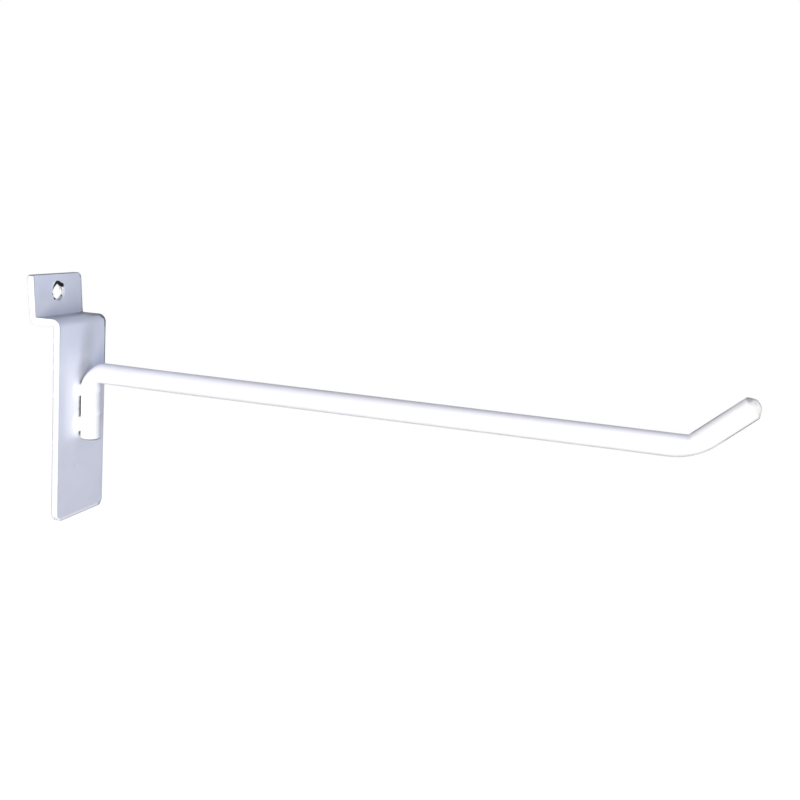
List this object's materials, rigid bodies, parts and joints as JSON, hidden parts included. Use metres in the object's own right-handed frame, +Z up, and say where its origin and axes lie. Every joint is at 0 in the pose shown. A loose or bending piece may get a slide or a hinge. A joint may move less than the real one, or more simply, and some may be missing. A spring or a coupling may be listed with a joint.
{
  "type": "slatwall hook",
  "caption": "Slatwall hook: folded back plate with a holed lipping tab, and a welded round rod arm with an upturned bevelled tip.",
  "frame": {"origin": "in the plane of the panel's face, which the plate's back lies on, level with the arm's axis and midway across the plate", "axes": "+Z up, +Y into the panel, +X across the plate; the arm runs out along -Y"},
  "size_m": [0.0254, 0.2145, 0.0762],
  "materials": {
    "plate_coat": "satin white powder coat on folded steel sheet",
    "rod_coat": "satin white powder coat on bent steel wire",
    "bead_coat": "satin white powder coat over weld beads"
  },
  "bodies": {
    "root": {"back_plate": "plate_coat", "hook_rod": "rod_coat", "weld_bead_upper_left": "bead_coat", "weld_bead_upper_right": "bead_coat", "weld_bead_lower_left": "bead_coat", "weld_bead_lower_right": "bead_coat"}
  },
  "joints": []
}
